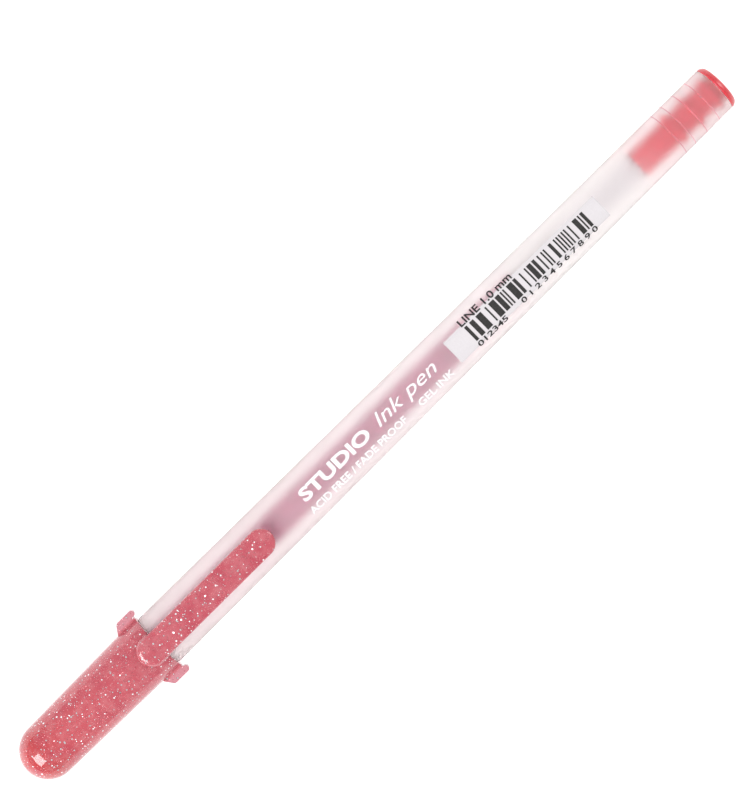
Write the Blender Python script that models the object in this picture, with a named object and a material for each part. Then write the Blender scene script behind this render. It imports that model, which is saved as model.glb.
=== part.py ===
"""A capped gel pen, lying on its side with the clip on top. Blender 4.5, metres, +Z up.

The pen's axis runs along +X, from the cap's closed end to the tail plug, and the cap's
collar stands on Z = 0. Places along the axis are stations, counted from the closed end.
Round pieces are turned profiles, lists of (station, radius).
"""

import math

import bmesh
import bpy

MM = 0.001

# Driving dimensions
PEN_LENGTH = 149.0 * MM
CAP_TIP_RADIUS = 4.55 * MM
CAP_COLLAR_RADIUS = 4.94 * MM
CAP_LENGTH = 28.2 * MM
CAP_WALL = 0.98 * MM
BARREL_FRONT_RADIUS = 4.52 * MM
BARREL_TAIL_RADIUS = 3.87 * MM
BARREL_BORE_RADIUS = 3.15 * MM
NOSE_RADIUS = 3.80 * MM
REFILL_RADIUS = 2.50 * MM
REFILL_WALL = 0.60 * MM
BALL_RADIUS = 0.50 * MM
CLIP_WIDTH = 4.45 * MM
CLIP_ROOT_WIDTH = 4.90 * MM
CLIP_TOP = 6.20 * MM  # height of the clip's top above the axis
CLIP_THICKNESS = 1.28 * MM
LUG_REACH = 6.43 * MM  # from the axis to a lug's outer edge
LUG_THICKNESS = 1.80 * MM

# Stations along the axis
BALL_CENTRE = 4.93 * MM
POINT_LIP = 4.72 * MM
HOLDER_FRONT = 9.20 * MM
NOSE_FRONT = 10.00 * MM
HOLDER_SEAT = 15.60 * MM
REFILL_FRONT = 17.10 * MM
SPIGOT_END = 22.60 * MM
COLLAR_START = 24.40 * MM
CLIP_FRONT = 24.60 * MM
CLIP_END = 52.40 * MM
INK_END = 105.70 * MM
FOLLOWER_END = 114.50 * MM
REFILL_END = 131.00 * MM
BARREL_END = 147.95 * MM
POSTING_RINGS = (138.00 * MM, 140.05 * MM, 142.50 * MM, 145.15 * MM)
PLUG_RIBS = (139.00 * MM, 142.80 * MM, 146.60 * MM)

# Clearances
FACE_GAP = 0.05 * MM  # between faces that meet on the real pen
SLIP_GAP = 0.05 * MM  # between a piece and the bore that holds it
CLIP_GAP = 0.15 * MM  # at the clip's bending line

# Sides of the turned pieces
BODY_SIDES = 24
INNER_SIDES = 32
POINT_SIDES = 24

AXIS_HEIGHT = CAP_COLLAR_RADIUS * math.cos(math.pi / BODY_SIDES)

# Colour, roughness, metallic
FINISHES = {
    "glitter_plastic": ((0.68, 0.13, 0.17), 0.25, 0.0),
    "frosted_plastic": ((0.90, 0.82, 0.82), 0.55, 0.0),
    "clear_plastic": ((0.86, 0.86, 0.88), 0.20, 0.0),
    "seal_rubber": ((0.62, 0.12, 0.12), 0.60, 0.0),
    "plug_plastic": ((0.80, 0.07, 0.08), 0.35, 0.0),
    "holder_plastic": ((0.88, 0.87, 0.85), 0.40, 0.0),
    "metallic_ink": ((0.58, 0.20, 0.30), 0.40, 0.0),
    "follower_grease": ((0.92, 0.90, 0.84), 0.20, 0.0),
    "point_steel": ((0.70, 0.70, 0.71), 0.25, 1.0),
    "ball_carbide": ((0.42, 0.42, 0.44), 0.15, 1.0),
}


def along(station):
    """A station as an X coordinate in the pen's frame."""
    return station - PEN_LENGTH / 2


def clear_scene():
    for thing in list(bpy.data.objects):
        bpy.data.objects.remove(thing)


def finish(name):
    """The material of that finish, made once."""
    if name in bpy.data.materials:
        return bpy.data.materials[name]
    colour, roughness, metallic = FINISHES[name]
    material = bpy.data.materials.new(name)
    material.use_nodes = True
    shader = material.node_tree.nodes["Principled BSDF"]
    shader.inputs["Base Color"].default_value = (*colour, 1.0)
    shader.inputs["Roughness"].default_value = roughness
    shader.inputs["Metallic"].default_value = metallic
    material.diffuse_color = (*colour, 1.0)
    return material


def pivot(name, station, height=0.0, parent=None):
    """An empty at a station, that height above the axis. A moving body's pieces hang from it."""
    empty = bpy.data.objects.new(name, None)
    empty.empty_display_size = 2 * MM
    bpy.context.scene.collection.objects.link(empty)
    empty["station"] = station
    empty["height"] = height
    if parent:
        empty.parent = parent
        empty.location = (station - parent["station"], 0, height - parent["height"])
    else:
        empty.location = (along(station), 0, AXIS_HEIGHT + height)
    return empty


def add_object(name, bm, body, finish_name):
    """Links a finished bmesh, drawn in stations and heights above the axis, to its body's pivot."""
    bmesh.ops.translate(bm, verts=bm.verts, vec=(-body["station"], 0, -body["height"]))
    mesh = bpy.data.meshes.new(name)
    bm.to_mesh(mesh)
    bm.free()
    mesh.shade_smooth()
    mesh.set_sharp_from_angle(angle=math.radians(35))
    mesh.materials.append(finish(finish_name))
    piece = bpy.data.objects.new(name, mesh)
    bpy.context.scene.collection.objects.link(piece)
    piece.parent = body
    return piece


def arc(centre, radius, start, end, steps):
    """Points (station, radius) on a circle about (centre, 0), from one angle to the other.
    0 degrees points to the tail, 90 away from the axis, 180 to the cap's closed end."""
    points = []
    for i in range(steps + 1):
        angle = math.radians(start + (end - start) * i / steps)
        points.append((centre + radius * math.cos(angle), abs(radius * math.sin(angle))))
    return points


def turned(profile, sides, closed):
    """Spins a profile about the axis, with a flat at the bottom. A closed profile makes a tube,
    and an open one starts and ends on the axis."""
    bm = bmesh.new()
    half_side = math.pi / sides
    corners = [
        bm.verts.new((station, radius * math.sin(half_side), -radius * math.cos(half_side)))
        for station, radius in profile
    ]
    pairs = list(zip(corners, corners[1:]))
    if closed:
        pairs.append((corners[-1], corners[0]))
    edges = [bm.edges.new(pair) for pair in pairs]
    bmesh.ops.spin(
        bm,
        geom=corners + edges,
        cent=(0, 0, 0),
        axis=(1, 0, 0),
        angle=2 * math.pi,
        steps=sides,
        use_merge=True,
    )
    bmesh.ops.remove_doubles(bm, verts=bm.verts, dist=1e-8)
    bmesh.ops.recalc_face_normals(bm, faces=bm.faces)
    return bm


def plate(outline, low, high, bevel):
    """A flat plate: an outline of (station, y), raised from one height to the other, edges rounded."""
    bm = bmesh.new()
    face = bm.faces.new([bm.verts.new((station, y, low)) for station, y in outline])
    raised = bmesh.ops.extrude_face_region(bm, geom=[face])
    top = [v for v in raised["geom"] if isinstance(v, bmesh.types.BMVert)]
    bmesh.ops.translate(bm, verts=top, vec=(0, 0, high - low))
    bmesh.ops.recalc_face_normals(bm, faces=bm.faces)
    rims = [e for e in bm.edges if abs(e.verts[0].co.z - e.verts[1].co.z) < 1e-9]
    bmesh.ops.bevel(
        bm,
        geom=rims,
        offset=bevel,
        offset_type="OFFSET",
        affect="EDGES",
        segments=2,
        profile=0.5,
        material=-1,
        clamp_overlap=True,
    )
    return bm


def join_to(piece, bm, name):
    """Unions a bmesh, drawn as the piece was, into a piece. The added shape stays as a hidden helper."""
    body = piece.parent
    helper = add_object(name, bm, body, piece.data.materials[0].name)
    helper.hide_render = True
    helper.display_type = "WIRE"
    union = piece.modifiers.new(name, "BOOLEAN")
    union.operation = "UNION"
    union.solver = "EXACT"
    union.object = helper


def barrel_radius(station):
    """The barrel's outside, which tapers evenly from the shoulder to the tail."""
    share = (station - CAP_LENGTH) / (BARREL_END - CAP_LENGTH)
    return BARREL_FRONT_RADIUS + (BARREL_TAIL_RADIUS - BARREL_FRONT_RADIUS) * share


def cap_radius(station):
    """The cap's outside between its round end and its collar."""
    collar_lead = 0.055 * MM
    share = (station - CAP_TIP_RADIUS) / (COLLAR_START - CAP_TIP_RADIUS)
    return CAP_TIP_RADIUS + (CAP_COLLAR_RADIUS - collar_lead - CAP_TIP_RADIUS) * share


def make_barrel(body):
    """The frosted tube: nose cone, narrower nose that the cap covers, shoulder, tapered body."""
    shoulder = CAP_LENGTH + FACE_GAP
    chamfer = 0.10 * MM
    ring_height = 0.045 * MM
    ring_half_width = 0.16 * MM
    snap_ring = 24.50 * MM
    nose_bore = 1.55 * MM
    outside = [
        (NOSE_FRONT, 1.80 * MM),
        (NOSE_FRONT + 0.2 * MM, 1.98 * MM),
        (17.00 * MM, 3.45 * MM),
        (17.35 * MM, NOSE_RADIUS),
        (snap_ring - 0.5 * MM, NOSE_RADIUS),
        (snap_ring, NOSE_RADIUS + 0.07 * MM),
        (snap_ring + 0.5 * MM, NOSE_RADIUS),
        (shoulder, NOSE_RADIUS),
        (shoulder, BARREL_FRONT_RADIUS - chamfer),
        (shoulder + chamfer, BARREL_FRONT_RADIUS),
    ]
    for ring in POSTING_RINGS:
        outside += [
            (ring - ring_half_width, barrel_radius(ring)),
            (ring, barrel_radius(ring) + ring_height),
            (ring + ring_half_width, barrel_radius(ring)),
        ]
    outside += [
        (BARREL_END - chamfer, BARREL_TAIL_RADIUS),
        (BARREL_END, BARREL_TAIL_RADIUS - chamfer),
    ]
    inside = [
        (BARREL_END, BARREL_BORE_RADIUS + 0.05 * MM),
        (32.00 * MM, BARREL_BORE_RADIUS - 0.05 * MM),
        (27.00 * MM, 2.75 * MM),
        (HOLDER_SEAT, 2.62 * MM),
        (HOLDER_SEAT - 0.1 * MM, nose_bore),
        (NOSE_FRONT, nose_bore),
    ]
    add_object("barrel", turned(outside + inside, BODY_SIDES, closed=True), body, "frosted_plastic")


def make_tail_plug(body):
    """The coloured plug in the barrel's tail: hollow skirt, sealing ribs, flange, breather hole."""
    skirt_radius = 2.50 * MM
    skirt_bore = 1.70 * MM
    rib_radius = BARREL_BORE_RADIUS - SLIP_GAP
    rib_half_width = 0.35 * MM
    skirt_front = REFILL_END + 0.15 * MM
    hollow_end = 146.30 * MM
    flange_start = BARREL_END + FACE_GAP
    breather = 0.40 * MM
    outside = [
        (skirt_front, skirt_radius - 0.25 * MM),
        (skirt_front + 0.25 * MM, skirt_radius),
    ]
    for rib in PLUG_RIBS:
        outside += [
            (rib - rib_half_width - 0.2 * MM, skirt_radius),
            (rib - rib_half_width, rib_radius),
            (rib + rib_half_width, rib_radius),
            (rib + rib_half_width + 0.2 * MM, skirt_radius),
        ]
    outside += [
        (flange_start, skirt_radius),
        (flange_start, BARREL_TAIL_RADIUS - 0.10 * MM),
        (flange_start + 0.15 * MM, BARREL_TAIL_RADIUS),
        (flange_start + 0.45 * MM, BARREL_TAIL_RADIUS - 0.02 * MM),
        (PEN_LENGTH - 0.18 * MM, BARREL_TAIL_RADIUS - 0.27 * MM),
        (PEN_LENGTH, BARREL_TAIL_RADIUS - 0.65 * MM),
    ]
    inside = [
        (PEN_LENGTH, breather),
        (hollow_end + 0.20 * MM, breather),
        (hollow_end, skirt_bore - 0.10 * MM),
        (skirt_front, skirt_bore),
    ]
    add_object("tail_plug", turned(outside + inside, INNER_SIDES, closed=True), body, "plug_plastic")


def make_refill(body):
    """The refill: ink tube, point holder, steel writing point."""
    bore = REFILL_RADIUS - REFILL_WALL
    tube = [
        (REFILL_FRONT, REFILL_RADIUS),
        (REFILL_END, REFILL_RADIUS),
        (REFILL_END, bore),
        (REFILL_FRONT, bore),
    ]
    add_object("refill_tube", turned(tube, INNER_SIDES, closed=True), body, "clear_plastic")

    shank_bore = 1.10 * MM
    neck = 1.48 * MM
    collar_start = HOLDER_SEAT + FACE_GAP
    collar_end = REFILL_FRONT - FACE_GAP
    spigot = bore - SLIP_GAP
    channel = 0.80 * MM
    shank_end = 13.50 * MM
    holder = [
        (HOLDER_FRONT, neck - 0.12 * MM),
        (HOLDER_FRONT + 0.12 * MM, neck),
        (collar_start, neck),
        (collar_start, REFILL_RADIUS),
        (collar_end, REFILL_RADIUS),
        (collar_end, spigot),
        (SPIGOT_END - 0.3 * MM, spigot),
        (SPIGOT_END, spigot - 0.25 * MM),
        (SPIGOT_END, channel),
        (shank_end, channel),
        (shank_end, shank_bore),
        (HOLDER_FRONT, shank_bore),
    ]
    add_object("point_holder", turned(holder, POINT_SIDES, closed=True), body, "holder_plastic")

    socket = BALL_RADIUS + 0.03 * MM
    ink_hole = 0.30 * MM
    hole_front = BALL_CENTRE + math.sqrt(socket**2 - ink_hole**2)
    rear_bore = 0.60 * MM
    cone_radius = 1.16 * MM
    shank = shank_bore - SLIP_GAP
    point = [
        (POINT_LIP, 0.56 * MM),
        (POINT_LIP + 0.30 * MM, 0.64 * MM),
        (7.60 * MM, cone_radius),
        (HOLDER_FRONT - 0.35 * MM, cone_radius),
        (HOLDER_FRONT - FACE_GAP, cone_radius),
        (HOLDER_FRONT - FACE_GAP, shank),
        (shank_end - FACE_GAP, shank),
        (shank_end - FACE_GAP, rear_bore),
        (HOLDER_FRONT, rear_bore),
        (HOLDER_FRONT - 0.3 * MM, ink_hole),
        (hole_front, ink_hole),
    ]
    point += arc(BALL_CENTRE, socket, 50, 90, 3)
    point += [(POINT_LIP, 0.475 * MM)]
    add_object("writing_point", turned(point, POINT_SIDES, closed=True), body, "point_steel")


def make_ball(body):
    profile = arc(BALL_CENTRE, BALL_RADIUS, 180, 0, 12)
    add_object("writing_ball", turned(profile, POINT_SIDES, closed=False), body, "ball_carbide")


def make_ink(body):
    """The ink column, from the holder's spigot to the follower."""
    radius = REFILL_RADIUS - REFILL_WALL - SLIP_GAP
    column = [
        (SPIGOT_END + FACE_GAP, 0.0),
        (SPIGOT_END + FACE_GAP, radius),
        (INK_END, radius),
        (INK_END, 0.0),
    ]
    add_object("ink", turned(column, POINT_SIDES, closed=False), body, "metallic_ink")


def make_follower(body):
    """The plug of clear grease that closes the ink column and follows it as it is used."""
    radius = REFILL_RADIUS - REFILL_WALL - SLIP_GAP
    plug = [
        (INK_END + FACE_GAP, 0.0),
        (INK_END + FACE_GAP, radius),
        (FOLLOWER_END, radius),
        (FOLLOWER_END - 0.6 * MM, 0.75 * radius),
        (FOLLOWER_END - 0.9 * MM, 0.0),
    ]
    add_object("grease_follower", turned(plug, POINT_SIDES, closed=False), body, "follower_grease")


def lug_outline(side):
    """One anti-roll lug seen from above: sloping front, straight edge, round hooked rear end."""
    root = CAP_COLLAR_RADIUS - 0.60 * MM
    rear_radius = 0.52 * MM
    rear = CAP_LENGTH + 0.03 * MM
    points = [
        (COLLAR_START + 0.05 * MM, root),
        (COLLAR_START + 0.05 * MM, CAP_COLLAR_RADIUS + 0.02 * MM),
        (COLLAR_START + 0.85 * MM, LUG_REACH - 0.38 * MM),
        (COLLAR_START + 1.05 * MM, LUG_REACH - 0.12 * MM),
        (COLLAR_START + 1.35 * MM, LUG_REACH),
    ]
    for i in range(7):
        angle = math.radians(90 - 30 * i)
        points.append(
            (
                rear + rear_radius * math.cos(angle),
                LUG_REACH - rear_radius * (1 - math.sin(angle)),
            )
        )
    points += [(CAP_LENGTH - 0.08 * MM, CAP_COLLAR_RADIUS + 0.22 * MM)]
    points += [(CAP_LENGTH - 0.08 * MM, root)]
    return [(station, side * y) for station, y in points]


def clip_outline(front, rear, width, round_front):
    """The clip seen from above, straight-sided. One end is round: the front, or else the rear."""
    half = width / 2
    steps = 12
    if round_front:
        points = [(rear, -half), (rear, half)]
        centre, start = front + half, 90
    else:
        points = [(front, half), (front, -half)]
        centre, start = rear - half, -90
    for i in range(steps + 1):
        angle = math.radians(start + 180 * i / steps)
        points.append((centre + half * math.cos(angle), half * math.sin(angle)))
    return points


def make_cap(body):
    """The cap: closed round end, tapered shell, collar, clip root and two lugs in one moulding."""
    mouth_round = 0.12 * MM
    dome_station = CAP_TIP_RADIUS + 0.20 * MM
    dome_radius = CAP_TIP_RADIUS - CAP_WALL
    mouth_bore = NOSE_RADIUS + 0.15 * MM
    outside = arc(CAP_TIP_RADIUS, CAP_TIP_RADIUS, 180, 90, 9)
    outside += [
        (COLLAR_START, cap_radius(COLLAR_START)),
        (COLLAR_START + 0.15 * MM, CAP_COLLAR_RADIUS),
        (CAP_LENGTH - mouth_round, CAP_COLLAR_RADIUS),
        (CAP_LENGTH, CAP_COLLAR_RADIUS - mouth_round),
    ]
    inside = [
        (CAP_LENGTH, mouth_bore + 0.12 * MM),
        (CAP_LENGTH - 0.3 * MM, mouth_bore),
        (16.00 * MM, mouth_bore - 0.05 * MM),
    ]
    inside += arc(dome_station, dome_radius, 90, 180, 7)
    cap = add_object(
        "cap_shell", turned(outside + inside, BODY_SIDES, closed=False), body, "glitter_plastic"
    )
    root_low = 4.20 * MM
    root = plate(
        clip_outline(CLIP_FRONT, CAP_LENGTH - FACE_GAP, CLIP_ROOT_WIDTH, round_front=True),
        root_low,
        CLIP_TOP,
        bevel=0.45 * MM,
    )
    join_to(cap, root, "clip_root")
    for side, word in ((1, "left"), (-1, "right")):
        lug = plate(lug_outline(side), -LUG_THICKNESS / 2, LUG_THICKNESS / 2, bevel=0.22 * MM)
        join_to(cap, lug, f"{word}_lug")


def make_cap_seal(body):
    """The soft pad in the cap's closed end that the ball seats against."""
    gap = 0.10 * MM
    radius = CAP_TIP_RADIUS - CAP_WALL - gap
    centre = CAP_TIP_RADIUS + 0.20 * MM
    rear = BALL_CENTRE - BALL_RADIUS - 0.08 * MM
    last = 180 - math.degrees(math.acos((centre - rear) / radius))
    profile = arc(centre, radius, 180, last, 6)
    profile += [(rear, 0.0)]
    add_object("cap_seal", turned(profile, POINT_SIDES, closed=False), body, "seal_rubber")


def make_clip(body):
    """The clip's arm over the barrel, with the low bump that grips cloth."""
    underside = CLIP_TOP - CLIP_THICKNESS
    arm = plate(
        clip_outline(CAP_LENGTH + CLIP_GAP, CLIP_END, CLIP_WIDTH, round_front=False),
        underside,
        CLIP_TOP,
        bevel=0.30 * MM,
    )
    clip = add_object("clip_arm", arm, body, "glitter_plastic")
    bump_station = CLIP_END - 2.6 * MM
    bump_radius = 2.4 * MM
    bump_drop = 0.22 * MM
    bump = bmesh.new()
    bmesh.ops.create_uvsphere(bump, u_segments=24, v_segments=12, radius=bump_radius)
    cut = bmesh.ops.bisect_plane(
        bump,
        geom=bump.verts[:] + bump.edges[:] + bump.faces[:],
        plane_co=(0, 0, -bump_radius + 2 * bump_drop),
        plane_no=(0, 0, 1),
        clear_outer=True,
    )
    rim = [e for e in cut["geom_cut"] if isinstance(e, bmesh.types.BMEdge)]
    bmesh.ops.edgeloop_fill(bump, edges=rim)
    bmesh.ops.recalc_face_normals(bump, faces=bump.faces)
    bmesh.ops.translate(
        bump, verts=bump.verts, vec=(bump_station, 0, underside - bump_drop + bump_radius)
    )
    join_to(clip, bump, "clip_bump")


def main():
    clear_scene()
    pen = pivot("pen_body", CAP_LENGTH)
    cap = pivot("cap_body", CAP_LENGTH, parent=pen)
    clip_axis_height = CLIP_TOP - CLIP_THICKNESS / 2
    clip = pivot("clip_hinge", CAP_LENGTH + CLIP_GAP / 2, clip_axis_height, parent=cap)
    ball = pivot("ball_centre", BALL_CENTRE, parent=pen)
    follower = pivot("follower_slide", INK_END, parent=pen)
    make_barrel(pen)
    make_tail_plug(pen)
    make_refill(pen)
    make_ink(pen)
    make_follower(follower)
    make_ball(ball)
    make_cap(cap)
    make_cap_seal(cap)
    make_clip(clip)


main()
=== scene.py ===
import math
import random

import bmesh
import bpy
from mathutils import Matrix, Vector


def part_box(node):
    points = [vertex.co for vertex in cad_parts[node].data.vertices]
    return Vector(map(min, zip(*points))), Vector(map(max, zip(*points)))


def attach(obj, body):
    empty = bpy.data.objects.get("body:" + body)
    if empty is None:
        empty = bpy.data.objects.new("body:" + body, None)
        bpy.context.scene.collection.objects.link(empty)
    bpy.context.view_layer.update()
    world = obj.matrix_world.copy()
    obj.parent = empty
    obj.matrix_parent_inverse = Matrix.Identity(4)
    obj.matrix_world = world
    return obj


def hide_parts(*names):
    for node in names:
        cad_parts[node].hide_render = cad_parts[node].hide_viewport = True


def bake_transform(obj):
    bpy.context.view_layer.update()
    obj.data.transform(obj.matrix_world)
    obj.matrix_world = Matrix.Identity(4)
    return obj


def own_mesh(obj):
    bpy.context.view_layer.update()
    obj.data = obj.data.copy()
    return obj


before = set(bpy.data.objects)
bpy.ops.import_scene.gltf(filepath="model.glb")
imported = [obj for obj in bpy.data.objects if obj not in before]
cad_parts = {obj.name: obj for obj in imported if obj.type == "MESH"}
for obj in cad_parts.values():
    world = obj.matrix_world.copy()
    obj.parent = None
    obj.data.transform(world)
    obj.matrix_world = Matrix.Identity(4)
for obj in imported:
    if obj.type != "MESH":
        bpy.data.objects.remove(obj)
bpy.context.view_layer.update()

mm = 0.001
roundSides = 144  # sides of the large turned pieces
smallSides = 64  # sides of the refill, the point and what is in them

# the pen lies along X, its cap towards -X, and places along it are stations from the cap's tip
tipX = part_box("cap_shell")[0][0]
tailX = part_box("tail_plug")[1][0]
barrelLow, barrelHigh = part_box("barrel")
axisZ = (barrelLow[2] + barrelHigh[2]) / 2
print("frame loaded, pen length", round((tailX - tipX) / mm, 1), "mm")


def at(station):
    return tipX + station * mm


def arcPoints(centre, radius, start, end, steps):
    # 0 degrees points to the tail, 90 away from the axis, 180 to the cap's tip
    points = []
    for i in range(steps + 1):
        angle = math.radians(start + (end - start) * i / steps)
        points.append((centre[0] + radius * math.cos(angle), centre[1] + radius * math.sin(angle)))
    return points


def roundedOutline(corners, steps=7):
    # corners are (station, y, radius); each is rounded by an arc of its radius
    points = []
    for i, (s, y, radius) in enumerate(corners):
        here = Vector((s, y))
        if radius == 0:
            points.append((s, y))
            continue
        before = (Vector(corners[i - 1][:2]) - here).normalized()
        after = (Vector(corners[(i + 1) % len(corners)][:2]) - here).normalized()
        half = math.acos(max(-1, min(1, before.dot(after)))) / 2
        centre = here + (before + after).normalized() * radius / math.sin(half)
        first = here + before * radius / math.tan(half) - centre
        last = here + after * radius / math.tan(half) - centre
        sweep = first.angle_signed(last)
        for j in range(steps + 1):
            spoke = first.copy()
            spoke.rotate(Matrix.Rotation(-sweep * j / steps, 2))
            points.append(tuple(centre + spoke))
    return points


def finishMesh(bm, name, sharpAngle=40):
    mesh = bpy.data.meshes.new(name)
    bm.to_mesh(mesh)
    bm.free()
    mesh.shade_smooth()
    mesh.set_sharp_from_angle(angle=math.radians(sharpAngle))
    piece = bpy.data.objects.new(name, mesh)
    bpy.context.scene.collection.objects.link(piece)
    return piece


def turn(profile, sides, closed=True):
    # profile points are (station, radius) in mm; a closed profile makes a ring, an open one
    # meets the axis
    bm = bmesh.new()
    corners = [bm.verts.new((at(s), 0, axisZ + max(r, 0) * mm)) for s, r in profile]
    pairs = list(zip(corners, corners[1:]))
    if closed:
        pairs.append((corners[-1], corners[0]))
    edges = [bm.edges.new(pair) for pair in pairs]
    bmesh.ops.spin(
        bm, geom=corners + edges, cent=(0, 0, axisZ), axis=(1, 0, 0), angle=2 * math.pi,
        steps=sides, use_merge=True,
    )
    bmesh.ops.remove_doubles(bm, verts=bm.verts, dist=1e-7)
    bmesh.ops.recalc_face_normals(bm, faces=bm.faces)
    return bm


def slab(outline, low, high, rounding, segments, topOnly=False):
    # outline points are (station, y) in mm, low and high are heights above the axis
    bm = bmesh.new()
    face = bm.faces.new([bm.verts.new((at(s), y * mm, axisZ + low * mm)) for s, y in outline])
    raised = bmesh.ops.extrude_face_region(bm, geom=[face])
    top = [v for v in raised["geom"] if isinstance(v, bmesh.types.BMVert)]
    bmesh.ops.translate(bm, verts=top, vec=(0, 0, (high - low) * mm))
    bmesh.ops.recalc_face_normals(bm, faces=bm.faces)
    rims = [e for e in bm.edges if abs(e.verts[0].co.z - e.verts[1].co.z) < 1e-8]
    if topOnly:
        rims = [e for e in rims if e.verts[0].co.z > axisZ + (low + high) / 2 * mm]
    bmesh.ops.bevel(
        bm, geom=rims, offset=rounding * mm, offset_type="OFFSET", affect="EDGES",
        segments=segments, profile=0.5, material=-1, clamp_overlap=True,
    )
    return bm


def applied(piece):
    # bakes the piece's modifiers into its mesh
    graph = bpy.context.evaluated_depsgraph_get()
    mesh = bpy.data.meshes.new_from_object(piece.evaluated_get(graph))
    piece.modifiers.clear()
    piece.data = mesh
    return piece


def unite(piece, helpers):
    for helper in helpers:
        union = piece.modifiers.new(helper.name, "BOOLEAN")
        union.operation = "UNION"
        union.solver = "EXACT"
        union.object = helper
        applied(piece)
        bpy.data.objects.remove(helper)
    piece.data.shade_smooth()
    piece.data.set_sharp_from_angle(angle=math.radians(40))
    return piece


def dress(piece, look, body, nodes=()):
    piece.data.materials.clear()
    piece.data.materials.append(look)
    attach(piece, body)
    if nodes:
        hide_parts(*nodes)


def newLook(name, **sockets):
    look = bpy.data.materials.new(name)
    look.use_nodes = True
    shader = look.node_tree.nodes["Principled BSDF"]
    for socket, value in sockets.items():
        shader.inputs[socket.replace("_", " ")].default_value = value
    return look, look.node_tree.nodes, look.node_tree.links, shader


def addNode(nodes, kind, **values):
    node = nodes.new(kind)
    for key, value in values.items():
        setattr(node, key, value)
    return node


def noise(nodes, links, size, detail=2.0, rough=0.5, stretch=(1, 1, 1)):
    # size is the pattern's grain in mm; stretch above 1 draws it out along that axis
    coord = nodes.new("ShaderNodeTexCoord")
    mapping = nodes.new("ShaderNodeMapping")
    mapping.inputs["Scale"].default_value = [1 / s for s in stretch]
    texture = nodes.new("ShaderNodeTexNoise")
    texture.inputs["Scale"].default_value = 1 / (size * mm)
    texture.inputs["Detail"].default_value = detail
    texture.inputs["Roughness"].default_value = rough
    links.new(coord.outputs["Object"], mapping.inputs["Vector"])
    links.new(mapping.outputs["Vector"], texture.inputs["Vector"])
    return texture.outputs["Fac"]


def lengthwise(nodes, links, axis="X"):
    coord = nodes.new("ShaderNodeTexCoord")
    place = nodes.new("ShaderNodeSeparateXYZ")
    links.new(coord.outputs["Object"], place.inputs["Vector"])
    return place.outputs[axis]


def ramp(nodes, links, source, stops):
    node = nodes.new("ShaderNodeValToRGB")
    elements = node.color_ramp.elements
    while len(elements) < len(stops):
        elements.new(0.5)
    for element, (place, colour) in zip(elements, stops):
        element.position = place
        element.color = (*colour, 1)
    links.new(source, node.inputs["Fac"])
    return node.outputs["Color"]


def remap(nodes, links, source, low, high, newLow, newHigh):
    node = nodes.new("ShaderNodeMapRange")
    node.inputs["From Min"].default_value = low
    node.inputs["From Max"].default_value = high
    node.inputs["To Min"].default_value = newLow
    node.inputs["To Max"].default_value = newHigh
    links.new(source, node.inputs["Value"])
    return node.outputs["Result"]


def maths(nodes, links, operation, first, second):
    node = nodes.new("ShaderNodeMath")
    node.operation = operation
    for socket, value in zip(node.inputs, (first, second)):
        if isinstance(value, (int, float)):
            socket.default_value = value
        else:
            links.new(value, socket)
    return node.outputs["Value"]


def mixColour(nodes, links, share, first, second):
    node = nodes.new("ShaderNodeMix")
    node.data_type = "RGBA"
    sockets = {s.identifier: s for s in node.inputs}
    for key, value in (("Factor_Float", share), ("A_Color", first), ("B_Color", second)):
        if isinstance(value, (int, float)):
            sockets[key].default_value = value
        elif isinstance(value, tuple):
            sockets[key].default_value = (*value, 1)
        else:
            links.new(value, sockets[key])
    return [s for s in node.outputs if s.identifier == "Result_Color"][0]


def addBump(nodes, links, shader, height, depth, strength=1.0):
    bump = nodes.new("ShaderNodeBump")
    bump.inputs["Distance"].default_value = depth * mm
    bump.inputs["Strength"].default_value = strength
    links.new(height, bump.inputs["Height"])
    links.new(bump.outputs["Normal"], shader.inputs["Normal"])
    return bump


# as for every piece, stations, radii and sizes in mm
barrel = {
    "noseFront": 10.0,
    "noseRadius": 3.80,
    "shoulder": 28.25,
    "frontRadius": 4.52,
    "tailRadius": 3.87,
    "end": 147.95,
    "bore": 3.15,
    "noseBore": 1.55,
    "snapRing": 24.5,
    "rings": (138.00, 140.05, 142.50, 145.15),
    "ringHeight": 0.045,
    "ringHalf": 0.16,
    "shadeLineHalf": 0.07,  # of the darker line of painted shade along a ring's crest
}

frost = {
    # front: pinker, painted pink light scattered from the ink
    "front": (0.912, 0.824, 0.826),
    "middle": (0.965, 0.915, 0.910),
    # tail: pinker, painted red light bounced from the plug inside
    "tail": (0.930, 0.850, 0.852),
    "changes": (50.0, 105.0, 128.0, 134.0),  # stations: front, to middle, then to tail
    "ringShadeLine": (0.70, 0.40, 0.45),
    "transmission": 0.83,
    "tailTransmission": 0.92,
    "roughness": 0.62,
    "boreRoughness": 0.45,
    "refraction": 1.36,
    "grain": 0.11,
    "grainDepth": 0.002,
}


def makeFrostedPlastic():
    f = frost
    look, nodes, links, shader = newLook(
        "frosted_plastic", Roughness=f["roughness"], IOR=f["refraction"]
    )
    haze = remap(nodes, links, noise(nodes, links, 6.0, 2, stretch=(4, 1, 1)), 0.3, 0.7, -0.02, 0.02)
    along = remap(nodes, links, lengthwise(nodes, links), at(0), at(barrel["end"]), 0, 1)
    share = maths(nodes, links, "ADD", along, haze)
    places = [s / barrel["end"] for s in f["changes"]]
    # the front and tail tints are painted light: pink scattered from the ink, red bounced from the plug
    tints = zip(places, (f["front"], f["middle"], f["middle"], f["tail"]))
    links.new(ramp(nodes, links, share, list(tints)), shader.inputs["Base Color"])
    clear = remap(nodes, links, share, places[2], places[3], f["transmission"], f["tailTransmission"])
    links.new(clear, shader.inputs["Transmission Weight"])
    grain = noise(nodes, links, f["grain"], 3, 0.6)
    rough = remap(nodes, links, grain, 0.3, 0.7, f["roughness"] - 0.05, f["roughness"] + 0.06)
    links.new(rough, shader.inputs["Roughness"])
    addBump(nodes, links, shader, grain, f["grainDepth"])
    return look


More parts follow.
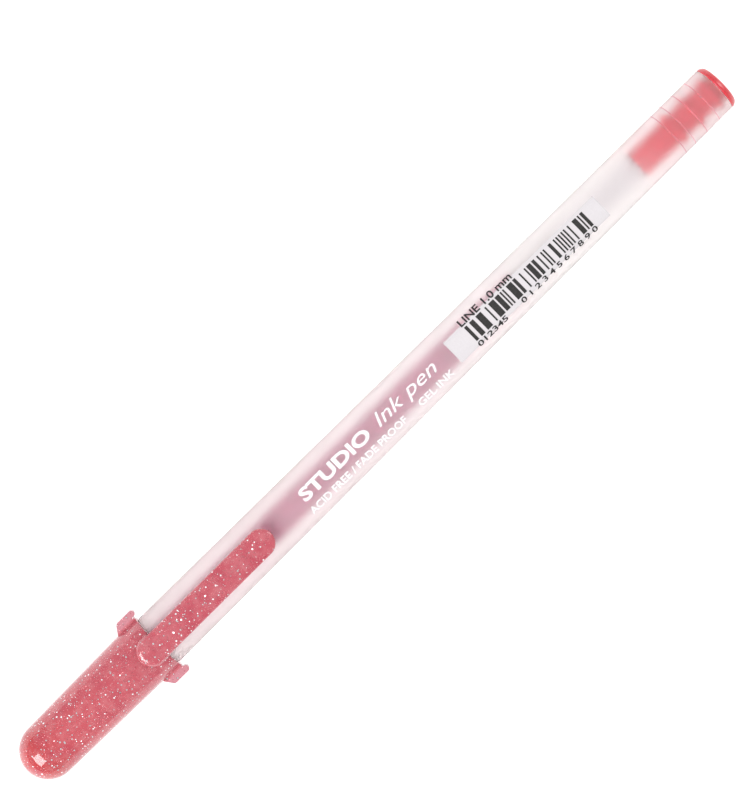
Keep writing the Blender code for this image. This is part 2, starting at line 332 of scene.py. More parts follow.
def makeBoreFinish():
    # the barrel's inner wall, smoother than its outside
    f = frost
    look, nodes, links, shader = newLook("barrel_bore", IOR=f["refraction"], Transmission_Weight=1.0)
    haze = noise(nodes, links, 3.0, 2, stretch=(6, 1, 1))
    links.new(
        ramp(nodes, links, haze, [(0.3, (1, 0.990, 0.990)), (0.7, (0.99, 0.98, 0.98))]),
        shader.inputs["Base Color"],
    )
    rough = remap(nodes, links, haze, 0.3, 0.7, f["boreRoughness"] - 0.04, f["boreRoughness"] + 0.04)
    links.new(rough, shader.inputs["Roughness"])
    return look


def makeRingShadeLine():
    # painted shade: the thin darker line along each moulded ring's crest
    f = frost
    look, nodes, links, shader = newLook("ring_painted_shade", IOR=f["refraction"], Transmission_Weight=0.6)
    grain = noise(nodes, links, f["grain"], 2)
    pale = tuple(c * 1.15 for c in f["ringShadeLine"])
    links.new(
        ramp(nodes, links, grain, [(0.3, f["ringShadeLine"]), (0.7, pale)]), shader.inputs["Base Color"]
    )
    links.new(remap(nodes, links, grain, 0.3, 0.7, 0.5, 0.6), shader.inputs["Roughness"])
    return look


def barrelRadius(s):
    # the outside, which tapers evenly from the shoulder to the tail
    share = (s - barrel["shoulder"]) / (barrel["end"] - barrel["shoulder"])
    return barrel["frontRadius"] + (barrel["tailRadius"] - barrel["frontRadius"]) * share


def makeBarrel():
    b = barrel
    front, nose, snap = b["noseFront"], b["noseRadius"], b["snapRing"]
    shoulder, wide, end, bore = b["shoulder"], b["frontRadius"], b["end"], b["bore"]
    outside = [
        (front, 1.62), (front, 1.80), (front + 0.08, 1.90), (front + 0.2, 1.98),
        (16.95, 3.42), (17.10, 3.55), (17.22, nose - 0.06), (17.40, nose), (snap - 0.5, nose),
        (snap - 0.2, nose + 0.055), (snap, nose + 0.07), (snap + 0.2, nose + 0.055), (snap + 0.5, nose),
        (shoulder - 0.06, nose), (shoulder, nose + 0.06), (shoulder, wide - 0.14),
        (shoulder + 0.04, wide - 0.05), (shoulder + 0.14, wide),
    ]
    for ring in b["rings"]:
        for i in range(-4, 5):
            lift = (0.5 + 0.5 * math.cos(math.pi * i / 4)) * b["ringHeight"]
            place = ring + i / 4 * b["ringHalf"]
            outside.append((place, barrelRadius(place) + lift))
    tail = b["tailRadius"]
    outside += [(end - 0.12, tail), (end - 0.03, tail - 0.03), (end, tail - 0.12)]
    inside = [
        (end, bore + 0.12), (end - 0.1, bore + 0.05), (32.0, bore - 0.05), (30.0, 3.00),
        (27.0, 2.75), (15.6, 2.62), (15.5, 2.5), (15.5, b["noseBore"] + 0.07),
        (15.4, b["noseBore"]), (front + 0.1, b["noseBore"]),
    ]
    piece = finishMesh(turn(outside + inside, roundSides), "barrel_tube", 50)
    dress(piece, frostedPlastic, "pen", ["barrel"])
    piece.data.materials.append(barrelBore)
    piece.data.materials.append(ringShadeLine)
    # faces on a ring's crest get the painted shade line
    for face in piece.data.polygons:
        outwards = Vector((0, face.center.y, face.center.z - axisZ)).normalized()
        if face.normal.dot(outwards) < -0.5:
            face.material_index = 1
        elif min(abs(face.center.x - at(ring)) for ring in b["rings"]) < b["shadeLineHalf"] * mm:
            face.material_index = 2


frostedPlastic = makeFrostedPlastic()
barrelBore = makeBoreFinish()
ringShadeLine = makeRingShadeLine()
makeBarrel()
print("barrel made")


# spans are stations in mm, angles are degrees round the barrel from the clip's side, + towards +Y
label = {
    "block": {"span": (91.0, 122.8), "angles": (-32.7, 27.5)},
    "bars": {"span": (94.9, 120.5), "angles": (-20.5, 19.0), "units": 95, "seed": 5},
    "title": {"text": "STUDIO", "span": (59.3, 73.5), "angles": (-8.0, 20.5), "bold": 0.035},
    "name": {"text": "Ink pen", "span": (75.3, 87.8), "angles": (-15.0, 24.0), "slant": 0.30},
    "note": {
        "text": "ACID FREE / FADE PROOF", "span": (58.8, 79.0), "angles": (-40.0, -21.5), "bold": 0.015,
    },
    "noteTwo": {"text": "GEL INK", "span": (82.0, 89.2), "angles": (-40.0, -21.5), "bold": 0.015},
    "over": {"text": "LINE 1.0 mm", "span": (94.7, 105.5), "angles": (22.5, 41.5), "bold": 0.022},
    "under": {"text": "012345", "span": (94.7, 100.8), "angles": (-37.5, -23.5), "bold": 0.022},
    "digits": {
        "text": "0 1 2 3 4 5 6 7 8 9 0", "span": (104.0, 120.1), "angles": (-37.5, -23.0), "bold": 0.022,
    },
    "thickness": 0.012,
    "lift": 0.004,
}
overBlock = 2 * label["lift"] + label["thickness"]  # the dark print stands on the pale block


def makePrint(name, colour, variation):
    look, nodes, links, shader = newLook(name, IOR=1.45)
    cover = noise(nodes, links, 0.25, 3, 0.6)
    thin = tuple(c + v for c, v in zip(colour, variation))
    links.new(ramp(nodes, links, cover, [(0.35, colour), (0.75, thin)]), shader.inputs["Base Color"])
    links.new(remap(nodes, links, cover, 0.3, 0.7, 0.38, 0.52), shader.inputs["Roughness"])
    return look


def wrap(bm, lift):
    # from flat (station, angle in degrees, height in mm) to the barrel's surface
    for v in bm.verts:
        s, angle, height = v.co
        radius = (barrelRadius(s) + lift + height) * mm
        turnBy = math.radians(angle)
        v.co = (at(s), radius * math.sin(turnBy), axisZ + radius * math.cos(turnBy))
    bmesh.ops.recalc_face_normals(bm, faces=bm.faces)


def cutAcross(bm, angles, steps):
    # cuts flat shapes along the barrel, so that they can bend round it
    for i in range(1, steps):
        bmesh.ops.bisect_plane(
            bm, geom=bm.verts[:] + bm.edges[:] + bm.faces[:], plane_no=(0, 1, 0),
            plane_co=(0, angles[0] + (angles[1] - angles[0]) * i / steps, 0),
        )


def patch(bm, span, angles):
    # a thin flat tile in (station, angle)
    made = bmesh.ops.create_cube(bm, size=1.0)["verts"]
    size = (span[1] - span[0], angles[1] - angles[0], label["thickness"])
    middle = (sum(span) / 2, sum(angles) / 2, label["thickness"] / 2)
    bmesh.ops.scale(bm, verts=made, vec=size)
    bmesh.ops.translate(bm, verts=made, vec=middle)


def makeBlock():
    block = label["block"]
    bm = bmesh.new()
    patch(bm, block["span"], block["angles"])
    cutAcross(bm, block["angles"], 20)
    wrap(bm, label["lift"])
    dress(finishMesh(bm, "label_block"), blockPrint, "pen")


def makeBars():
    # dark bars of one to four units, from a fixed seed
    bars = label["bars"]
    pick = random.Random(bars["seed"])
    unit = (bars["span"][1] - bars["span"][0]) / bars["units"]
    bm = bmesh.new()
    place = 0
    while place < bars["units"] - 1:
        width = min(pick.choice((1, 1, 1, 2, 2, 3, 4)), bars["units"] - place)
        start = bars["span"][0] + place * unit
        patch(bm, (start, start + width * unit), bars["angles"])
        place += width + pick.choice((1, 1, 2, 2, 3))
    cutAcross(bm, bars["angles"], 12)
    wrap(bm, overBlock)
    dress(finishMesh(bm, "label_bars"), blackPrint, "pen")


def makeWords(name, look, lift):
    # letters are drawn flat, fitted to their span, then wrapped round the barrel
    words = label[name]
    curve = bpy.data.curves.new(name, "FONT")
    curve.body = words["text"]
    curve.size = 1.0
    curve.shear = words.get("slant", 0)
    curve.offset = words.get("bold", 0)
    curve.resolution_u = 4
    curve.extrude = 0.5
    flat = bpy.data.objects.new(name, curve)
    bpy.context.scene.collection.objects.link(flat)
    bpy.context.view_layer.update()
    mesh = bpy.data.meshes.new_from_object(flat.evaluated_get(bpy.context.evaluated_depsgraph_get()))
    bpy.data.objects.remove(flat)
    bm = bmesh.new()
    bm.from_mesh(mesh)
    bmesh.ops.remove_doubles(bm, verts=bm.verts, dist=1e-5)
    low = [min(v.co[i] for v in bm.verts) for i in range(3)]
    high = [max(v.co[i] for v in bm.verts) for i in range(3)]
    for i, (start, end) in enumerate((words["span"], words["angles"], (0, label["thickness"]))):
        for v in bm.verts:
            v.co[i] = start + (v.co[i] - low[i]) / (high[i] - low[i]) * (end - start)
    cutAcross(bm, words["angles"], 8)
    wrap(bm, lift)
    dress(finishMesh(bm, name + "_print"), look, "pen")


whitePrint = makePrint("white_print", (0.84, 0.83, 0.84), (-0.03, -0.035, -0.035))
blockPrint = makePrint("block_print", (0.64, 0.61, 0.63), (-0.03, -0.035, -0.035))
blackPrint = makePrint("black_print", (0.016, 0.014, 0.014), (0.02, 0.02, 0.02))
makeBlock()
makeBars()
for name in ("title", "name", "note", "noteTwo"):
    makeWords(name, whitePrint, label["lift"])
for name in ("over", "under", "digits"):
    makeWords(name, blackPrint, overBlock)
print("prints made")


plug = {
    "front": 131.15, "skirt": 2.50, "bore": 1.70, "rib": 3.10, "ribs": (139.0, 142.8, 146.6),
    "ribHalf": 0.35, "hollowEnd": 146.3, "flangeStart": 148.0, "flange": 3.87, "end": 149.0,
    "breather": 0.40,
}

plugLook = {"skirt": (0.76, 0.016, 0.056), "flange": (0.54, 0.026, 0.034)}


def makePlugPlastic():
    look, nodes, links, shader = newLook("plug_plastic", IOR=1.7, Subsurface_Weight=0.15)
    shader.inputs["Subsurface Radius"].default_value = (0.0012, 0.0004, 0.0004)
    shader.inputs["Subsurface Scale"].default_value = 1.0
    flow = remap(nodes, links, noise(nodes, links, 1.5, 3), 0.35, 0.70, -0.12, 0.12)
    edge = plug["flangeStart"]
    along = remap(nodes, links, lengthwise(nodes, links), at(edge - 0.1), at(edge + 0.1), 0.1, 0.9)
    share = maths(nodes, links, "ADD", along, flow)
    links.new(
        ramp(nodes, links, share, [(0, plugLook["skirt"]), (1, plugLook["flange"])]),
        shader.inputs["Base Color"],
    )
    grain = noise(nodes, links, 0.12, 2)
    links.new(remap(nodes, links, grain, 0.3, 0.7, 0.24, 0.34), shader.inputs["Roughness"])
    addBump(nodes, links, shader, grain, 0.003)
    return look


def makePlug():
    p = plug
    front, skirt, bore, rib, half = p["front"], p["skirt"], p["bore"], p["rib"], p["ribHalf"]
    start, wide, end, hollowEnd = p["flangeStart"], p["flange"], p["end"], p["hollowEnd"]
    outside = [(front, 1.95), (front, skirt - 0.3), (front + 0.1, skirt - 0.1), (front + 0.3, skirt)]
    for place in p["ribs"]:
        low, high = place - half, place + half
        outside += [
            (low - 0.2, skirt), (low - 0.02, rib - 0.04), (low + 0.06, rib),
            (high - 0.06, rib), (high + 0.02, rib - 0.04), (high + 0.2, skirt),
        ]
    outside += [(start, skirt), (start, wide - 0.08), (start + 0.04, wide - 0.02)]
    outside += [(start + 0.10, wide), (start + 0.28, wide)]
    outside += [(start + 0.34, wide - 0.01), (start + 0.40, wide - 0.03)]
    outside += [(end - 0.24, wide - 0.24), (end - 0.14, wide - 0.33), (end - 0.05, wide - 0.45)]
    outside += [(end - 0.01, wide - 0.56), (end, wide - 0.68)]
    inside = [
        (end, p["breather"] + 0.08), (end - 0.08, p["breather"]), (hollowEnd + 0.2, p["breather"]),
        (hollowEnd, bore - 0.1), (front + 0.2, bore), (front, bore + 0.1),
    ]
    piece = finishMesh(turn(outside + inside, roundSides), "end_plug", 40)
    dress(piece, plugPlastic, "pen", ["tail_plug"])


plugPlastic = makePlugPlastic()
makePlug()
print("tail plug made")


refill = {
    "front": 17.1, "end": 131.0, "radius": 2.50, "bore": 1.90,
    "inkFront": 22.65, "inkEnd": 105.7, "followerEnd": 114.5, "follower": 1.85, "followerDish": 0.9,
    "holderFront": 9.2, "holderNeck": 1.48, "holderBore": 1.10, "seat": 15.65,
    "spigot": 1.85, "spigotEnd": 22.6, "channel": 0.80,
    "point": 1.16, "shank": 1.05, "shankEnd": 13.5, "rearBore": 0.60, "inkHole": 0.30,
    "lip": 4.72, "ball": 4.93, "ballRadius": 0.50, "ballGap": 0.03,
}

inkLook = {"deep": (1.0, 0.250, 0.475), "shimmer": (1.0, 0.400, 0.640)}


def makeClearPlastic():
    look, nodes, links, shader = newLook(
        "clear_plastic", Base_Color=(0.975, 0.965, 0.985, 1), IOR=1.49, Transmission_Weight=1.0
    )
    flow = noise(nodes, links, 1.6, 2, stretch=(12, 1, 1))
    links.new(remap(nodes, links, flow, 0.3, 0.7, 0.05, 0.16), shader.inputs["Roughness"])
    return look


def makeInk():
    look, nodes, links, shader = newLook("metallic_ink", IOR=1.36)
    swirl = noise(nodes, links, 1.1, 4, 0.6, stretch=(5, 1, 1))
    links.new(
        ramp(nodes, links, swirl, [(0.30, inkLook["deep"]), (0.70, inkLook["shimmer"])]),
        shader.inputs["Base Color"],
    )
    pigment = noise(nodes, links, 0.05, 2)
    links.new(remap(nodes, links, pigment, 0.3, 0.7, 0.32, 0.52), shader.inputs["Roughness"])
    return look


def makeGrease():
    look, nodes, links, shader = newLook(
        "follower_grease", Base_Color=(0.93, 0.92, 0.86, 1), IOR=1.46, Transmission_Weight=0.8
    )
    lumps = noise(nodes, links, 0.7, 3)
    links.new(remap(nodes, links, lumps, 0.3, 0.7, 0.18, 0.32), shader.inputs["Roughness"])
    addBump(nodes, links, shader, lumps, 0.05, 0.4)
    return look


def makeHolderPlastic():
    look, nodes, links, shader = newLook("holder_plastic", IOR=1.5, Subsurface_Weight=0.2)
    shader.inputs["Subsurface Radius"].default_value = (0.0006, 0.0005, 0.0004)
    shader.inputs["Subsurface Scale"].default_value = 1.0
    flow = noise(nodes, links, 1.0, 3)
    links.new(
        ramp(nodes, links, flow, [(0.35, (0.80, 0.78, 0.75)), (0.70, (0.85, 0.84, 0.81))]),
        shader.inputs["Base Color"],
    )
    links.new(remap(nodes, links, flow, 0.3, 0.7, 0.33, 0.42), shader.inputs["Roughness"])
    return look


def makeMetal(name, colour, roughness, ringSize):
    look, nodes, links, shader = newLook(name, Metallic=1.0, Base_Color=(*colour, 1))
    rings = noise(nodes, links, ringSize, 2, 0.6, stretch=(1, 40, 40))
    links.new(
        remap(nodes, links, rings, 0.3, 0.7, roughness - 0.06, roughness + 0.08),
        shader.inputs["Roughness"],
    )
    addBump(nodes, links, shader, rings, 0.002)
    return look


def makeRefill():
    r = refill
    start, end, radius, bore = r["front"], r["end"], r["radius"], r["bore"]
    tube = [
        (start, bore + 0.08), (start, radius - 0.06), (start + 0.06, radius), (end - 0.06, radius),
        (end, radius - 0.06), (end, bore + 0.05), (end - 0.05, bore), (start + 0.08, bore),
    ]
    piece = finishMesh(turn(tube, smallSides), "ink_tube", 40)
    dress(piece, clearPlastic, "pen", ["refill_tube"])

    # the ink wets the tube's bore, so its surface reaches just past it
    wet = bore + 0.02
    column = [
        (r["inkFront"], 0), (r["inkFront"], wet), (r["inkEnd"] - 0.15, wet),
        (r["inkEnd"], wet - 0.1), (r["inkEnd"], 0),
    ]
    inkColumn = finishMesh(turn(column, smallSides, closed=False), "ink_column", 40)
    dress(inkColumn, metallicInk, "pen", ["ink"])

    start, end, radius = r["inkEnd"] + 0.05, r["followerEnd"], r["follower"]
    follower = [(start, 0), (start, radius - 0.05), (start + 0.07, radius), (end - 0.1, radius)]
    for i in range(9):
        dish = r["followerDish"] * math.sin(i / 8 * math.pi / 2)
        follower.append((end - dish, (radius - 0.05) * (1 - i / 8)))
    grease = finishMesh(turn(follower, smallSides, closed=False), "grease_plug", 60)
    dress(grease, followerGrease, "follower", ["grease_follower"])
    return inkColumn


def makePoint():
    r = refill
    front, seat, end, collarEnd = r["holderFront"], r["seat"], r["spigotEnd"], r["front"] - 0.05
    neck, collar, spigot, bore = r["holderNeck"], r["radius"], r["spigot"], r["holderBore"]
    holder = [
        (front, bore), (front, neck - 0.12), (front + 0.04, neck - 0.04), (front + 0.12, neck),
        (seat, neck), (seat, collar - 0.10), (seat + 0.08, collar), (collarEnd - 0.05, collar),
        (collarEnd, collar - 0.05), (collarEnd, spigot), (end - 0.3, spigot), (end - 0.1, spigot - 0.13),
        (end, spigot - 0.25), (end, r["channel"]), (r["shankEnd"], r["channel"]), (r["shankEnd"], bore),
    ]
    piece = finishMesh(turn(holder, smallSides), "point_socket", 40)
    dress(piece, holderPlastic, "pen", ["point_holder"])

    lip, ball, wide, shank, end = r["lip"], r["ball"], r["point"], r["shank"], r["shankEnd"] - 0.05
    outside = [
        (lip, 0.475), (lip, 0.54), (lip + 0.04, 0.565), (lip + 0.30, 0.64), (7.50, wide - 0.04),
        (7.56, wide - 0.01), (7.66, wide), (front - 0.10, wide), (front - 0.05, wide - 0.05),
        (front - 0.05, shank), (end - 0.05, shank), (end, shank - 0.05),
    ]
    socket, inkHole = r["ballRadius"] + r["ballGap"], r["inkHole"]
    inside = [(end, r["rearBore"]), (front, r["rearBore"]), (front - 0.3, inkHole)]
    inside += [(ball + math.sqrt(socket**2 - inkHole**2), inkHole)]
    inside += arcPoints((ball, 0), socket, 50, 90, 4)
    piece = finishMesh(turn(outside + inside, smallSides), "steel_point", 40)
    dress(piece, pointSteel, "pen", ["writing_point"])

    bm = bmesh.new()
    bmesh.ops.create_uvsphere(bm, u_segments=48, v_segments=24, radius=r["ballRadius"] * mm)
    bmesh.ops.translate(bm, verts=bm.verts, vec=(at(ball), 0, axisZ))
    dress(finishMesh(bm, "rolling_ball", 60), ballCarbide, "ball", ["writing_ball"])


clearPlastic = makeClearPlastic()
metallicInk = makeInk()
followerGrease = makeGrease()
holderPlastic = makeHolderPlastic()
pointSteel = makeMetal("point_steel", (0.62, 0.61, 0.60), 0.22, 0.05)
ballCarbide = makeMetal("ball_carbide", (0.33, 0.33, 0.35), 0.14, 0.03)
inkColumn = makeRefill()
makePoint()
print("refill and point made")


# radii and heights are from the pen's axis
cap = {
    "tip": 4.55, "collar": 4.94, "collarStart": 24.4, "mouth": 28.2, "wall": 0.98, "bore": 3.95,
    "clipTop": 6.20, "clipThick": 1.28, "clipWidth": 4.45, "clipStart": 26.6, "clipEnd": 52.4,
    "clipRounding": 0.34,
    "rootFront": 24.6, "rootWidth": 4.9, "rootLow": 4.2, "rootRounding": 1.15,
    "lugReach": 6.43, "lugThick": 1.8, "lugRounding": 0.36, "lugHook": 1.04, "lugCorner": 0.50,
    "bumpRadius": 2.4, "bumpDrop": 0.22, "bumpFromEnd": 2.6,
    "bend": (28.9, 31.4), "bendCut": 0.25,  # the stretch that bends, and the step between its cuts
}

# flakes: cell is their spacing and size the largest one's radius, both in mm
glitter = {
    "tip": (0.58, 0.040, 0.050),
    "middle": (0.635, 0.086, 0.112),
    "mouth": (0.60, 0.094, 0.130),
    # lug: paler, painted light shining through the thin lugs
    "lug": (0.66, 0.26, 0.31),
    # deep: painted shade of the darker inside seen through the cap
    "deep": (0.52, 0.040, 0.080),
    "tipEnds": 9.0,  # station where the middle's colour is reached
    "speck": (0.86, 0.42, 0.44),
    "ring": (0.34, 0.04, 0.07),  # the dark edge round a coarse flake, a painted shadow
    "shadowRingWidth": 0.045,
    "silver": (0.86, 0.83, 0.85),
    "coarse": {"cell": 0.56, "size": 0.150, "tilt": 0.55},
    "fine": {"cell": 0.22, "size": 0.072, "tilt": 0.9},
    "glintShare": 0.60,  # of the coarse flakes, made plain white as painted glints where they shine most
    "transmission": 0.30,
    "roughness": 0.08,
}


def flakes(nodes, links, cell, size, tilt):
    # round flakes: their mask, a slightly larger one for a painted shadow round each, a number for each
    # and its tilted normal
    coord = nodes.new("ShaderNodeTexCoord")
    cells = nodes.new("ShaderNodeTexVoronoi")
    cells.inputs["Scale"].default_value = 1 / (cell * mm)
    links.new(coord.outputs["Object"], cells.inputs["Vector"])
    parts = nodes.new("ShaderNodeSeparateColor")
    links.new(cells.outputs["Color"], parts.inputs["Color"])
    reach = remap(nodes, links, parts.outputs["Red"], 0, 1, 0.3 * size / cell, size / cell)
    mask = maths(nodes, links, "LESS_THAN", cells.outputs["Distance"], reach)
    shadowReach = maths(nodes, links, "ADD", reach, glitter["shadowRingWidth"] / cell)
    ring = maths(nodes, links, "LESS_THAN", cells.outputs["Distance"], shadowReach)
    lean = addNode(nodes, "ShaderNodeVectorMath", operation="MULTIPLY_ADD")
    lean.inputs[1].default_value = (2 * tilt,) * 3
    lean.inputs[2].default_value = (-tilt,) * 3
    links.new(cells.outputs["Color"], lean.inputs[0])
    geometry = nodes.new("ShaderNodeNewGeometry")
    total = addNode(nodes, "ShaderNodeVectorMath", operation="ADD")
    links.new(lean.outputs["Vector"], total.inputs[0])
    links.new(geometry.outputs["Normal"], total.inputs[1])
    unit = addNode(nodes, "ShaderNodeVectorMath", operation="NORMALIZE")
    links.new(total.outputs["Vector"], unit.inputs[0])
    return mask, ring, parts.outputs["Green"], unit.outputs["Vector"]


def makeGlitterPlastic():
    g = glitter
    look, nodes, links, shader = newLook(
        "glitter_plastic", IOR=1.59, Coat_Weight=0.3, Coat_Roughness=0.06, Coat_IOR=1.6
    )
    along = remap(nodes, links, lengthwise(nodes, links), at(0), at(cap["mouth"]), 0, 1)
    early = g["tipEnds"] / cap["mouth"]
    body = ramp(nodes, links, along, [(early / 3, g["tip"]), (early, g["middle"]), (1, g["mouth"])])
    clouds = remap(nodes, links, noise(nodes, links, 1.3, 3, 0.65), 0.42, 0.68, 0, 0.22)
    body = mixColour(nodes, links, clouds, body, g["speck"])
    # darker crimson clouds at random: painted shade standing in for the inside seen through the cap
    shadePatches = remap(nodes, links, noise(nodes, links, 3.2, 2), 0.50, 0.70, 0, 0.55)
    body = mixColour(nodes, links, shadePatches, body, g["deep"])
    # the lugs are painted paler: painted light shining through their thin plastic
    outwards = maths(nodes, links, "ABSOLUTE", lengthwise(nodes, links, "Y"), 0)
    thin = remap(nodes, links, outwards, cap["collar"] * mm, (cap["collar"] + 0.5) * mm, 0, 1)
    body = mixColour(nodes, links, thin, body, g["lug"])
    coarse, coarseShadowRing, pick, coarseNormal = flakes(nodes, links, **g["coarse"])
    fine, _, _, fineNormal = flakes(nodes, links, **g["fine"])
    body = mixColour(nodes, links, maths(nodes, links, "MULTIPLY", fine, 0.75), body, g["speck"])
    # a painted shadow round each coarse flake
    body = mixColour(nodes, links, maths(nodes, links, "MULTIPLY", coarseShadowRing, 0.55), body, g["ring"])
    body = mixColour(nodes, links, coarse, body, g["silver"])
    links.new(body, shader.inputs["Base Color"])
    # some coarse flakes are plain white, not metal: painted glints, crowded in patches
    glintCrowds = remap(nodes, links, noise(nodes, links, 4.0, 1), 0.46, 0.60, 0, g["glintShare"])
    glintFlakes = maths(nodes, links, "LESS_THAN", pick, glintCrowds)
    shiny = maths(nodes, links, "MULTIPLY", coarse, maths(nodes, links, "SUBTRACT", 1.0, glintFlakes))
    metal = maths(nodes, links, "MAXIMUM", shiny, maths(nodes, links, "MULTIPLY", fine, 0.45))
    links.new(metal, shader.inputs["Metallic"])
    either = maths(nodes, links, "MAXIMUM", coarse, fine)
    links.new(remap(nodes, links, either, 0, 1, g["roughness"], 0.30), shader.inputs["Roughness"])
    clear = remap(nodes, links, either, 0, 1, g["transmission"], 0)
    links.new(clear, shader.inputs["Transmission Weight"])
    normal = nodes.new("ShaderNodeNewGeometry").outputs["Normal"]
    for mask, tilted in ((fine, fineNormal), (shiny, coarseNormal)):
        blend = addNode(nodes, "ShaderNodeMix", data_type="VECTOR")
        sockets = {s.identifier: s for s in blend.inputs}
        links.new(mask, sockets["Factor_Float"])
        links.new(normal, sockets["A_Vector"])
        links.new(tilted, sockets["B_Vector"])
        normal = [s for s in blend.outputs if s.identifier == "Result_Vector"][0]
    links.new(normal, shader.inputs["Normal"])
    return look


def makeSealRubber():
    look, nodes, links, shader = newLook("seal_rubber", IOR=1.45)
    grain = noise(nodes, links, 0.2, 4)
    links.new(
        ramp(nodes, links, grain, [(0.35, (0.50, 0.05, 0.045)), (0.70, (0.56, 0.07, 0.06))]),
        shader.inputs["Base Color"],
    )
    links.new(remap(nodes, links, grain, 0.3, 0.7, 0.55, 0.70), shader.inputs["Roughness"])
    addBump(nodes, links, shader, grain, 0.01)
    return look


def lugOutline(side):
    # one anti-roll lug from above: sloping front, straight edge, hooked rear
    c = cap
    start, rear, neck = c["collarStart"] + 0.05, c["mouth"] + 0.55, c["mouth"] - 0.06
    reach, corner, root = c["lugReach"], c["lugCorner"], 4.3
    hook = reach - c["lugHook"]
    corners = [
        (start, root, 0), (start, c["collar"], 0), (start + 1.05, reach, corner), (rear, reach, corner),
        (rear, hook, corner), (neck, hook, 0.12), (neck, root, 0),
    ]
    return [(s, side * y) for s, y in roundedOutline(corners)]


def makeClipBump(underside):
    # the low bump under the clip's end that grips cloth
    c = cap
    bm = bmesh.new()
    bmesh.ops.create_uvsphere(bm, u_segments=48, v_segments=32, radius=c["bumpRadius"] * mm)
    cut = bmesh.ops.bisect_plane(
        bm, geom=bm.verts[:] + bm.edges[:] + bm.faces[:], clear_outer=True,
        plane_co=(0, 0, (2 * c["bumpDrop"] - c["bumpRadius"]) * mm), plane_no=(0, 0, 1),
    )
    bmesh.ops.edgeloop_fill(bm, edges=[e for e in cut["geom_cut"] if isinstance(e, bmesh.types.BMEdge)])
    bmesh.ops.recalc_face_normals(bm, faces=bm.faces)
    height = underside - c["bumpDrop"] + c["bumpRadius"]
    place = at(c["clipEnd"] - c["bumpFromEnd"])
    bmesh.ops.translate(bm, verts=bm.verts, vec=(place, 0, axisZ + height * mm))
    return finishMesh(bm, "clip_bump")


def makeCap():
    # shell, lugs, clip root and arm are one moulding
    c = cap
    tip, collar, mouth, bore = c["tip"], c["collar"], c["mouth"], c["bore"]
    outside = arcPoints((tip, 0), tip, 180, 90, 28)
    outside += [
        (10.0, tip + 0.095), (17.0, tip + 0.218), (24.0, collar - 0.055),
        (c["collarStart"], collar - 0.04), (c["collarStart"] + 0.2, collar - 0.005),
        (c["collarStart"] + 0.4, collar), (mouth - 0.14, collar), (mouth - 0.04, collar - 0.04),
        (mouth, collar - 0.14),
    ]
    inside = [(mouth, bore + 0.12), (mouth - 0.08, bore + 0.04), (mouth - 0.3, bore)]
    inside += [(16.0, bore - 0.05)]
    inside += arcPoints((tip + 0.2, 0), tip - c["wall"], 90, 180, 20)
    shell = finishMesh(turn(outside + inside, roundSides, closed=False), "cap_moulding", 40)

    half = c["rootWidth"] / 2
    outline = [(mouth - 0.05, -half), (mouth - 0.05, half)]
    outline += arcPoints((c["rootFront"] + half, 0), half, 90, 270, 28)
    root = slab(outline, c["rootLow"], c["clipTop"], c["rootRounding"], 10, topOnly=True)

    half = c["clipWidth"] / 2
    outline = [(c["clipStart"], half), (c["clipStart"], -half)]
    outline += arcPoints((c["clipEnd"] - half, 0), half, -90, 90, 32)
    low = c["clipTop"] - c["clipThick"]
    arm = slab(outline, low, c["clipTop"] - 0.06, c["clipRounding"], 6)  # just below the root's top
    helpers = [finishMesh(root, "clip_root"), finishMesh(arm, "clip_arm_part"), makeClipBump(low)]

    half = c["lugThick"] / 2
    for side, word in ((1, "left"), (-1, "right")):
        lug = slab(lugOutline(side), -half, half, c["lugRounding"], 5)
        helpers.append(finishMesh(lug, word + "_lug"))
    unite(shell, helpers)

    # cuts across the arm at its root, where the clip bends
    bm = bmesh.new()
    bm.from_mesh(shell.data)
    bendStart, bendEnd = c["bend"]
    for i in range(12):
        bmesh.ops.bisect_plane(
            bm, geom=bm.verts[:] + bm.edges[:] + bm.faces[:], dist=1e-7,
            plane_co=(at(bendStart + i * c["bendCut"]), 0, 0), plane_no=(1, 0, 0),
        )
    bm.to_mesh(shell.data)
    bm.free()
    shell.data.set_sharp_from_angle(angle=math.radians(40))
    shell.data.materials.clear()
    shell.data.materials.append(glitterPlastic)
    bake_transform(shell)
    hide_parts("cap_shell", "clip_arm")


def makeSeal():
    # the soft pad in the cap's closed end, dished where the ball rests
    c = cap
    radius = c["tip"] - c["wall"] - 0.10
    centre = c["tip"] + 0.20
    rear = refill["ball"] - refill["ballRadius"] - 0.08
    last = 180 - math.degrees(math.acos((centre - rear) / radius))
    profile = arcPoints((centre, 0), radius, 180, last, 14)
    profile += [(rear, radius - 0.15), (rear, 1.2), (rear - 0.12, 1.0), (rear - 0.12, 0.0)]
    pad = finishMesh(turn(profile, smallSides, closed=False), "seal_pad", 40)
    dress(pad, sealRubber, "cap", ["cap_seal"])


glitterPlastic = makeGlitterPlastic()
sealRubber = makeSealRubber()
makeCap()
makeSeal()
print("cap made")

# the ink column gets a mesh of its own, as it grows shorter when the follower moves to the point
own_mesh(inkColumn)


studio = {
    "floorColour": (0.35, 0.35, 0.35),
    "floorGlow": 0.90,
    "skyStrength": 0.70,
    "capLight": {"place": (-0.53, 0.0, 0.44), "size": (0.38, 0.45), "power": 4.2},
    "tailLight": {"place": (0.55, 0.0, 0.42), "size": (0.50, 0.22), "power": 1.9},
    "lens": 125.45,
    "distance": 0.426,
    "aim": (77.7, 2.87),  # station, and mm across the pen
    "pictureTurn": 44.78,
    "roll": 4.0,
}


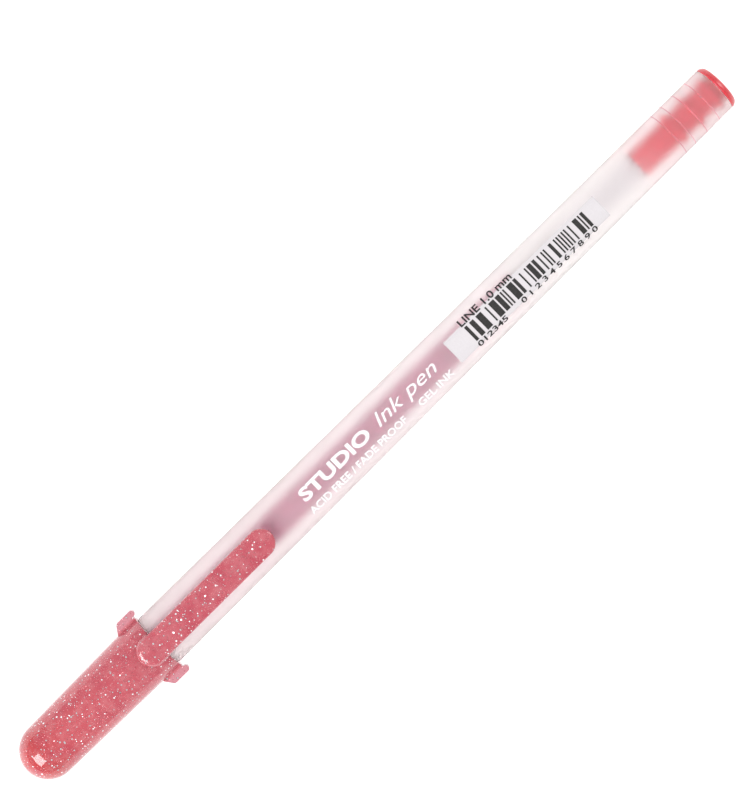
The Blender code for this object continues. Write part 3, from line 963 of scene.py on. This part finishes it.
def makeFloor():
    bm = bmesh.new()
    bmesh.ops.create_grid(bm, x_segments=1, y_segments=1, size=3.0)
    floor = finishMesh(bm, "studio_floor")
    # the floor glows, like the lit table under a product
    look = newLook(
        "studio_floor", Base_Color=(*studio["floorColour"], 1), Roughness=0.9,
        Emission_Color=(1, 1, 1, 1), Emission_Strength=studio["floorGlow"],
    )[0]
    floor.data.materials.append(look)


def makeLights():
    world = bpy.data.worlds.new("studio")
    bpy.context.scene.world = world
    world.use_nodes = True
    sky = world.node_tree.nodes["Background"]
    sky.inputs["Color"].default_value = (1, 1, 1, 1)
    sky.inputs["Strength"].default_value = studio["skyStrength"]
    for name in ("capLight", "tailLight"):
        spec = studio[name]
        lamp = bpy.data.lights.new(name, "AREA")
        lamp.shape = "RECTANGLE"
        lamp.size, lamp.size_y = spec["size"]
        lamp.energy = spec["power"]
        holder = bpy.data.objects.new(name, lamp)
        holder.location = spec["place"]
        aim = Vector((0, 0, axisZ)) - Vector(spec["place"])
        holder.rotation_euler = aim.to_track_quat("-Z", "X").to_euler()
        bpy.context.scene.collection.objects.link(holder)


def makeCamera():
    # looks down on the pen, rolled a little about the pen's axis and turned in the picture
    roll = math.radians(studio["roll"])
    towards = Vector((0, math.sin(roll), math.cos(roll)))
    across = Vector((0, math.cos(roll), -math.sin(roll)))
    alongPen = Vector((1, 0, 0))
    turnBy = math.radians(studio["pictureTurn"])
    right = alongPen * math.cos(turnBy) - across * math.sin(turnBy)
    up = alongPen * math.sin(turnBy) + across * math.cos(turnBy)
    aimStation, aimAcross = studio["aim"]
    target = Vector((at(aimStation), 0, axisZ)) + across * aimAcross * mm
    lens = bpy.data.cameras.new("camera")
    lens.lens = studio["lens"]
    lens.sensor_width = 36
    lens.clip_start = 0.01
    camera = bpy.data.objects.new("camera", lens)
    turned = Matrix((right, up, towards)).transposed().to_4x4()
    camera.matrix_world = Matrix.Translation(target + towards * studio["distance"]) @ turned
    bpy.context.scene.collection.objects.link(camera)
    bpy.context.scene.camera = camera


makeFloor()
makeLights()
makeCamera()
bpy.context.scene.view_settings.view_transform = "Standard"
print("floor, light and camera made")
